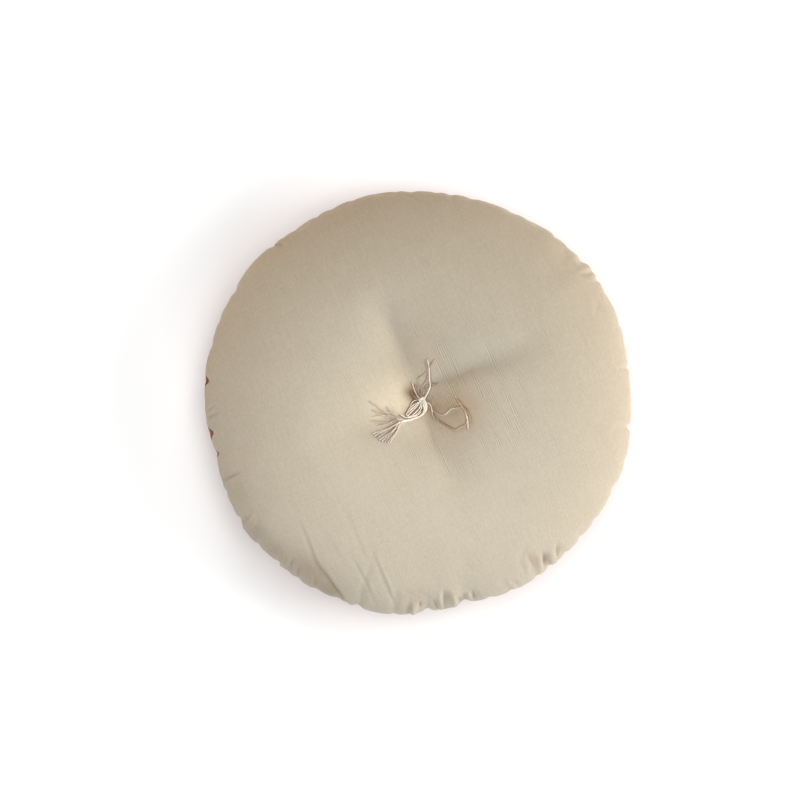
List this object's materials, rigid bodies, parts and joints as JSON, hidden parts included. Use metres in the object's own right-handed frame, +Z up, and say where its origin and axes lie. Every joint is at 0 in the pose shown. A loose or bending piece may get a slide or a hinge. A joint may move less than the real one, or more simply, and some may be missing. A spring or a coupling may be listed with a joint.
{
  "type": "round zabuton floor cushion",
  "caption": "Round two-sided floor cushion with a puckered rim seam, a drawn-in centre and a tied thread tuft on its cream face.",
  "frame": {"origin": "on the surface that the cushion lies on, under the middle of its outline", "axes": "+Z up out of the cream face; +X and +Y to the right and to the top of the face as seen from above"},
  "size_m": [0.3992, 0.3968, 0.0866],
  "materials": {
    "cream_linen": "matt slubbed plain weave of linen and cotton, natural cream with darker warp slubs",
    "rust_linen": "matt slubbed plain weave, rust brown",
    "cream_thread": "soft twisted cotton thread, slightly fuzzy"
  },
  "bodies": {
    "root": {"cushion": "cream_linen", "back_panel": "rust_linen", "tuft_tassel": "cream_thread", "tuft_back_stitch": "cream_thread"}
  },
  "joints": []
}
